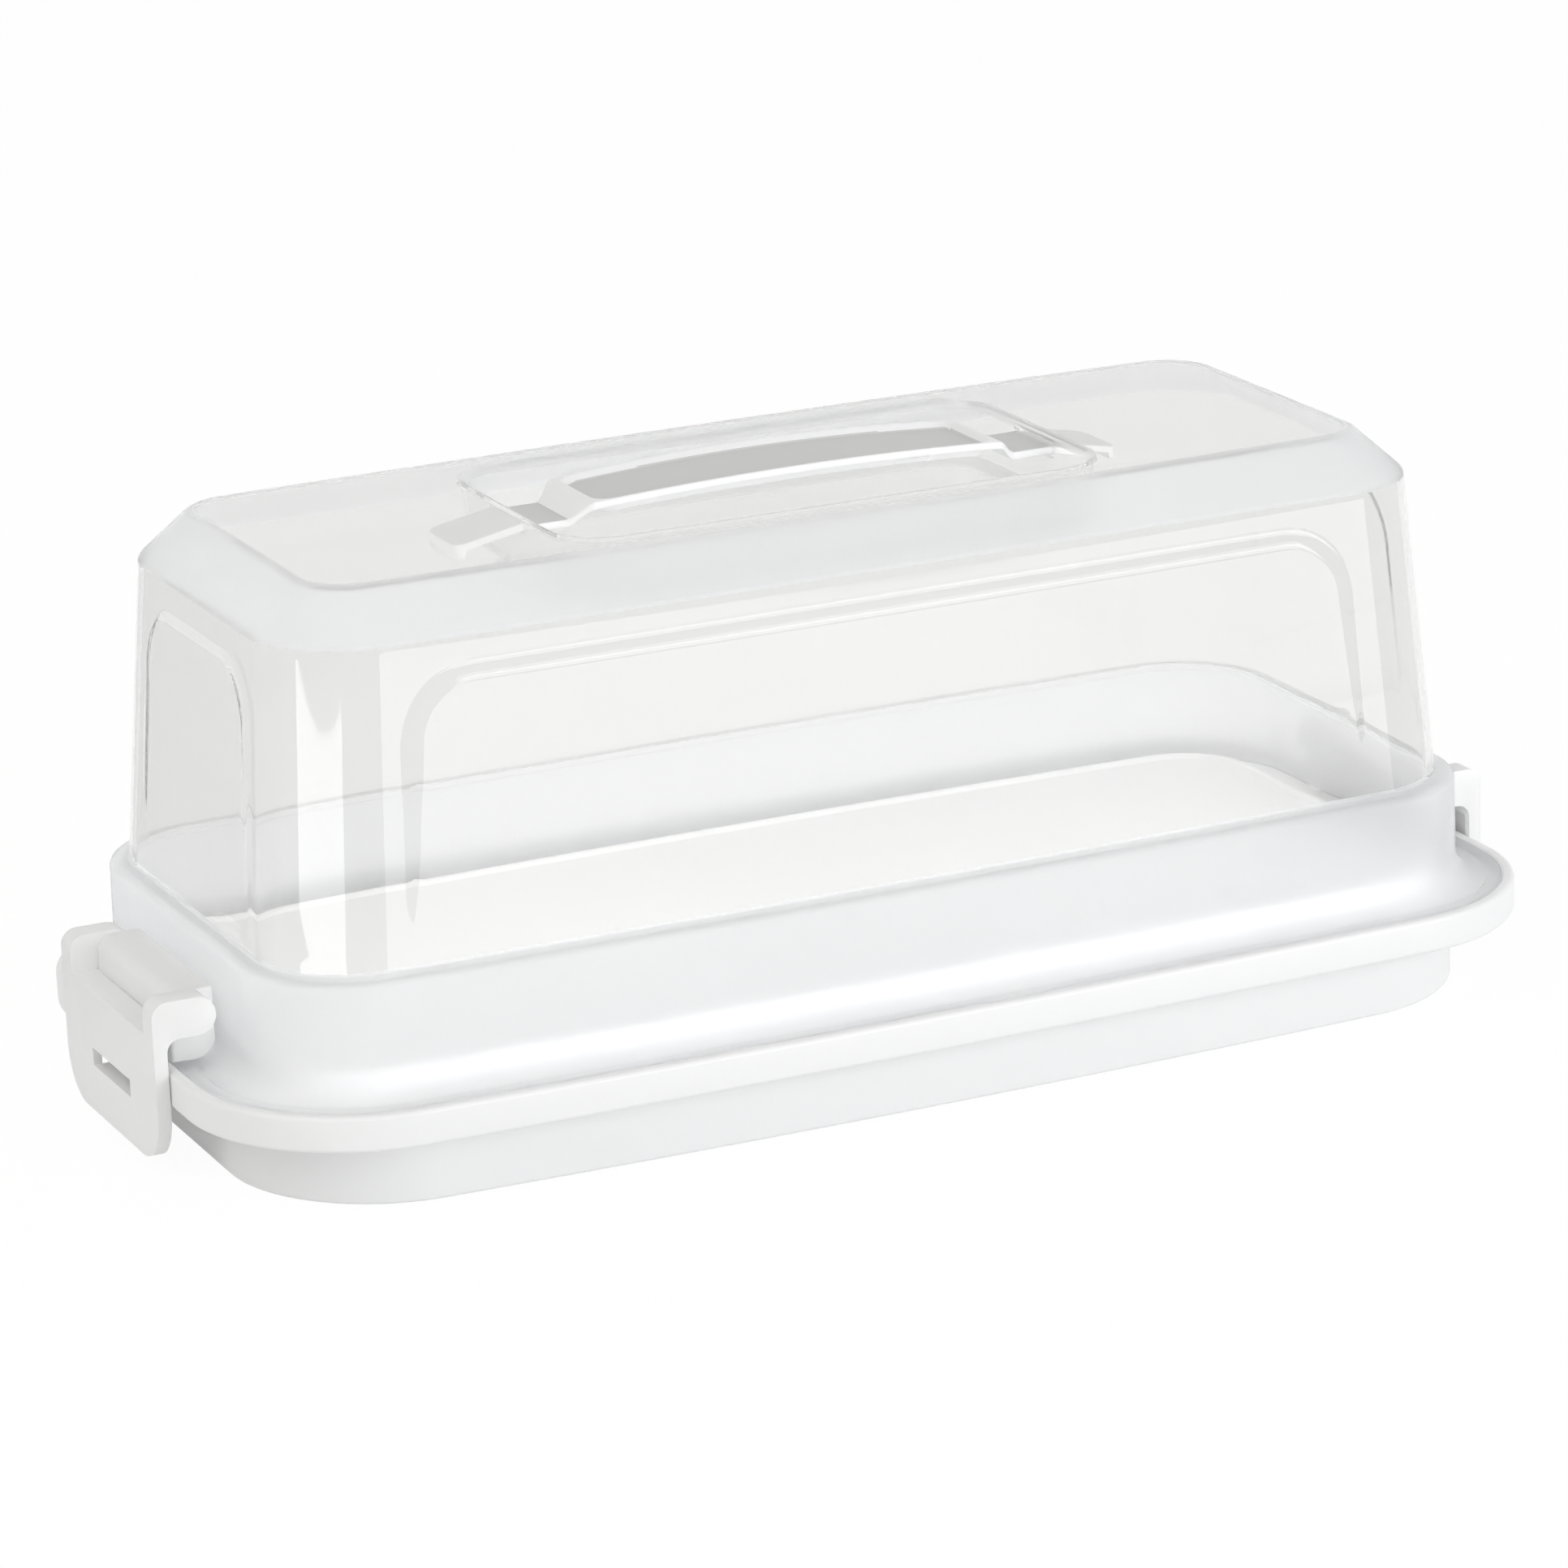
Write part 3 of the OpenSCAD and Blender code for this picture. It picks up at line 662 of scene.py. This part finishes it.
def noise_bump(nt, bsdf, scale, strength, distance):
    bump = nt.nodes.new("ShaderNodeBump")
    set_inputs(bump, {"Strength": strength, "Distance": distance})
    nt.links.new(noise(nt, scale, 3.0), bump.inputs["Height"])
    nt.links.new(bump.outputs["Normal"], bsdf.inputs["Normal"])


def rough_variation(nt, bsdf, scale, low, high):
    """Roughness that wanders between two values over the surface."""
    mr = nt.nodes.new("ShaderNodeMapRange")
    set_inputs(mr, {"From Min": 0.3, "From Max": 0.7, "To Min": low, "To Max": high})
    nt.links.new(noise(nt, scale, 2.0), mr.inputs["Value"])
    nt.links.new(mr.outputs["Result"], bsdf.inputs["Roughness"])


# grains of moulded surfaces: noise scale, strength and depth in metres
WHITE_GRAIN = (900.0, 0.05, 0.0001)
FROST_GRAIN = (700.0, 0.10, 0.0001)
BLOCK_GRAIN = (700.0, 0.08, 0.0001)


def white_plastic(name, colour, rough):
    m, nt, b, out = new_material(name)
    set_inputs(b, {"Base Color": (*colour, 1), "IOR": 1.49, "Subsurface Weight": 0.25,
                   "Subsurface Radius": (1.0, 0.95, 0.9), "Subsurface Scale": 0.003})
    noise_bump(nt, b, *WHITE_GRAIN)
    rough_variation(nt, b, 25.0, rough - 0.04, rough + 0.05)
    return m


def see_through(nt, bsdf, out, share):
    """Lets a share of the light pass to what is behind the plastic, as thin clear plastic does."""
    lp = nt.nodes.new("ShaderNodeLightPath")
    tr = nt.nodes.new("ShaderNodeBsdfTransparent")
    tr.inputs["Color"].default_value = (share, share, share, 1)
    mix = nt.nodes.new("ShaderNodeMixShader")
    nt.links.new(lp.outputs["Is Shadow Ray"], mix.inputs["Fac"])
    nt.links.new(bsdf.outputs[0], mix.inputs[1])
    nt.links.new(tr.outputs[0], mix.inputs[2])
    nt.links.new(mix.outputs[0], out.inputs["Surface"])


def clear_plastic(name, colour, rough, transmission, ior, share, grain=None, coat=0.0,
                  specular=0.5):
    """A translucent plastic. Its index of refraction is low and its gloss comes from a coat,
    because thin walls of the real index trap light and draw black lines along the edges."""
    m, nt, b, out = new_material(name)
    set_inputs(b, {"Base Color": (*colour, 1), "Transmission Weight": transmission, "IOR": ior,
                   "Specular IOR Level": specular, "Coat Weight": coat, "Coat Roughness": 0.04,
                   "Coat IOR": 1.4})
    if grain:
        noise_bump(nt, b, *grain)
    rough_variation(nt, b, 18.0, max(0.0, rough - 0.02), rough + 0.03)
    see_through(nt, b, out, share)
    return m


MAT_TRAY = white_plastic("tray_polypropylene", (0.90, 0.90, 0.90), 0.38)
MAT_CLIP = white_plastic("clip_polypropylene", (0.89, 0.89, 0.885), 0.36)
# the handle's white for its edges and underside, and a darker copy of it for the upper face:
# painted shade where the face turns up away from the front light
MAT_HANDLE = white_plastic("handle_polypropylene", (0.92, 0.92, 0.92), 0.30)
MAT_HANDLE_SHADED_FACE = white_plastic("handle_face_painted_shade", (0.66, 0.66, 0.655), 0.50)
MAT_CLEAR = clear_plastic("hood_polished", (0.87, 0.87, 0.865), rough=0.03, transmission=0.95,
                          ior=1.16, share=0.78, coat=0.7)
MAT_TOP = clear_plastic("hood_top_satin", (0.86, 0.86, 0.855), rough=0.04, transmission=0.94,
                        ior=1.10, share=0.76, coat=0.6)
MAT_RECESS = clear_plastic("hood_recess", (0.93, 0.93, 0.926), rough=0.06, transmission=0.94,
                           ior=1.10, share=0.90, coat=0.6)
MAT_FROST = clear_plastic("hood_frosted", (0.85, 0.853, 0.858), rough=0.60, transmission=0.84,
                          ior=1.20, share=0.94, grain=FROST_GRAIN, specular=0.2)
MAT_EDGE = clear_plastic("hood_satin_edge", (0.85, 0.85, 0.847), rough=0.34, transmission=0.88,
                         ior=1.12, share=0.86)
MAT_BLOCK = clear_plastic("hood_hinge_satin", (0.95, 0.95, 0.945), rough=0.50, transmission=0.25,
                          ior=1.35, share=0.80, grain=BLOCK_GRAIN)

for o, mats in ((tray, [MAT_TRAY]), (clip_l, [MAT_CLIP]), (clip_r, [MAT_CLIP]),
                (block_l, [MAT_BLOCK]), (block_r, [MAT_BLOCK]),
                (handle, [MAT_HANDLE, MAT_HANDLE_SHADED_FACE]),
                (hood, [MAT_CLEAR, MAT_FROST, MAT_TOP, MAT_EDGE, MAT_RECESS])):
    for mat in mats:
        o.data.materials.append(mat)

# the slots are cut once the hood has its materials, which the cut piece keeps
for side in (-1, 1):
    cut(hood, "strap_slot", sorted(side * x for x in SLOT_X), (-SLOT_HALF, SLOT_HALF), SLOT_Z)

# ---------------------------------------------------------------- what rides on what

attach(hood, "hood")
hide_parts("hood")
for o in (block_l, block_r):
    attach(o, "hood")
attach(tray, "tray")
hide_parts("base_tray")
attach(handle, "handle")
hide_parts("handle")
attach(clip_l, "clip_left")
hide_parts("clip_left")
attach(clip_r, "clip_right")
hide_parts("clip_right")

# ---------------------------------------------------------------- studio

scene.view_settings.view_transform = "Standard"
# light runs many times between the thin clear walls before it leaves them
scene.cycles.max_bounces = 20
scene.cycles.diffuse_bounces = 6
scene.cycles.glossy_bounces = 12
scene.cycles.transmission_bounces = 20
scene.cycles.transparent_max_bounces = 20

# the camera, fitted to the photo: focal length in the photo's pixels, place in metres, the way
# it looks, the turn of its level right-hand side from +X towards the front, and its roll
PHOTO_PX, FOCAL_PX, SENSOR = 1932, 7777.64, 36.0
CAMERA_AT, CAMERA_LOOKS = (-0.7092, -1.5391, 0.5940), (0.3992, 0.8678, -0.2958)
CAMERA_TURN, CAMERA_ROLL = 24.702, -1.99


def build_camera():
    cam = bpy.data.cameras.new("camera")
    co = link_object("camera", cam)
    cam.sensor_width = SENSOR
    cam.sensor_fit = "HORIZONTAL"
    cam.lens = FOCAL_PX / PHOTO_PX * SENSOR
    d = Vector(CAMERA_LOOKS).normalized()
    turn, roll = math.radians(CAMERA_TURN), math.radians(CAMERA_ROLL)
    level = Vector((math.cos(turn), -math.sin(turn), 0))
    above = level.cross(d)
    right = math.cos(roll) * level + math.sin(roll) * above
    up = -math.sin(roll) * level + math.cos(roll) * above
    co.matrix_world = Matrix([(right[i], up[i], -d[i], CAMERA_AT[i]) for i in range(3)]
                             + [(0, 0, 0, 1)])
    cam.clip_start, cam.clip_end = 0.05, 50
    scene.camera = co


build_camera()


def seen_directly(nt):
    """1 where the camera sees the studio itself, through the plastic or in its gloss."""
    lp = nt.nodes.new("ShaderNodeLightPath")
    last = lp.outputs["Is Camera Ray"]
    for kind in ("Is Transmission Ray", "Is Glossy Ray"):
        either = nt.nodes.new("ShaderNodeMath")
        either.operation = "MAXIMUM"
        nt.links.new(last, either.inputs[0])
        nt.links.new(lp.outputs[kind], either.inputs[1])
        last = either.outputs[0]
    return last


def build_floor():
    """A wide white table. It takes shadows softly, and is nearly white where it is seen."""
    reach, below, tone, glow, share = 6.0, 0.0002, 0.9, 1.02, 0.93
    m = bpy.data.meshes.new("floor")
    m.from_pydata([(-reach, -reach, 0), (reach, -reach, 0), (reach, reach, 0),
                   (-reach, reach, 0)], [], [(0, 1, 2, 3)])
    o = link_object("floor", m)
    o.location.z = -below
    mat = bpy.data.materials.new("floor_white")
    nt = empty_tree(mat)
    out = nt.nodes.new("ShaderNodeOutputMaterial")
    diffuse = nt.nodes.new("ShaderNodeBsdfDiffuse")
    diffuse.inputs["Color"].default_value = (tone, tone, tone, 1)
    emission = nt.nodes.new("ShaderNodeEmission")
    set_inputs(emission, {"Color": (1, 1, 1, 1), "Strength": glow})
    part = nt.nodes.new("ShaderNodeMath")
    part.operation = "MULTIPLY"
    part.inputs[1].default_value = share
    nt.links.new(seen_directly(nt), part.inputs[0])
    mix = nt.nodes.new("ShaderNodeMixShader")
    nt.links.new(part.outputs[0], mix.inputs["Fac"])
    nt.links.new(diffuse.outputs[0], mix.inputs[1])
    nt.links.new(emission.outputs[0], mix.inputs[2])
    nt.links.new(mix.outputs[0], out.inputs["Surface"])
    m.materials.append(mat)


build_floor()


def build_world():
    """White where it is seen, and elsewhere a soft light that is weaker from straight above."""
    white_strength, room_strength = 0.985, 0.9
    level_tone, above_tone, above_from = 0.90, 0.54, 0.9
    w = bpy.data.worlds.new("studio")
    scene.world = w
    nt = empty_tree(w)
    out = nt.nodes.new("ShaderNodeOutputWorld")
    white = nt.nodes.new("ShaderNodeBackground")
    set_inputs(white, {"Color": (1, 1, 1, 1), "Strength": white_strength})
    room = nt.nodes.new("ShaderNodeBackground")
    room.inputs["Strength"].default_value = room_strength
    tc = nt.nodes.new("ShaderNodeTexCoord")
    sep = nt.nodes.new("ShaderNodeSeparateXYZ")
    nt.links.new(tc.outputs["Generated"], sep.inputs[0])
    ramp = nt.nodes.new("ShaderNodeValToRGB")
    nt.links.new(sep.outputs["Z"], ramp.inputs["Fac"])
    for stop, at, tone in zip(ramp.color_ramp.elements, (0.0, above_from),
                              (level_tone, above_tone)):
        stop.position = at
        stop.color = (tone, tone, tone, 1)
    nt.links.new(ramp.outputs[0], room.inputs["Color"])
    mix = nt.nodes.new("ShaderNodeMixShader")
    nt.links.new(seen_directly(nt), mix.inputs["Fac"])
    nt.links.new(room.outputs[0], mix.inputs[1])
    nt.links.new(white.outputs[0], mix.inputs[2])
    nt.links.new(mix.outputs[0], out.inputs["Surface"])


build_world()


def area(name, loc, target, size, power, colour):
    la = bpy.data.lights.new(name, "AREA")
    la.shape = "RECTANGLE"
    la.size, la.size_y = size
    la.energy = power
    la.color = colour
    o = link_object(name, la)
    o.location = loc
    o.rotation_mode = "QUATERNION"
    o.rotation_quaternion = (Vector(target) - Vector(loc)).to_track_quat("-Z", "Y")


area("key", (1.0, -1.9, 0.6), (0, 0, 0.06), (1.4, 1.0), 17.0, (0.968, 0.982, 1.0))
area("fill", (-1.4, -0.5, 1.5), (0, 0, 0.08), (1.2, 1.2), 7.5, (1.0, 0.985, 0.93))


def card(name, corners, strength):
    """A white reflector that lies on the table and shows in the glossy plastic alone."""
    above_table = 0.0006
    m = bpy.data.meshes.new(name)
    m.from_pydata([(x, y, above_table) for x, y in corners], [], [(0, 1, 2, 3)])
    o = link_object(name, m)
    mat = bpy.data.materials.new(name)
    nt = empty_tree(mat)
    out = nt.nodes.new("ShaderNodeOutputMaterial")
    emission = nt.nodes.new("ShaderNodeEmission")
    emission.inputs["Strength"].default_value = strength
    nt.links.new(emission.outputs[0], out.inputs["Surface"])
    m.materials.append(mat)
    o.visible_camera = False
    o.visible_diffuse = False
    o.visible_transmission = False
    o.visible_shadow = False


def fan(start, end, start_az, end_az, start_near, end_near, far):
    """Corners of a card that spreads from the line between two points of the part's outline.
    Its sides run at an angle from the front towards +X, from a near to a far distance."""

    def at(point, az, dist):
        a = math.radians(az)
        return (point[0] + dist * math.sin(a), point[1] - dist * math.cos(a))

    return [at(start, start_az, start_near), at(end, end_az, end_near), at(end, end_az, far),
            at(start, start_az, far)]


card("card_front", fan((-0.148, -0.07), (0.150, -0.07), 13, 40, 0.20, 0.20, 1.6), 4.6)
LEFT_CORNER = (-0.165, -0.055)
card("card_left", fan(LEFT_CORNER, LEFT_CORNER, -80, -29, 0.56, 0.42, 1.5), 7.5)
card("card_grey", [(-0.24, 0.10), (-0.10, 1.60), (-1.70, 1.60), (-1.70, 0.10)], 0.6)
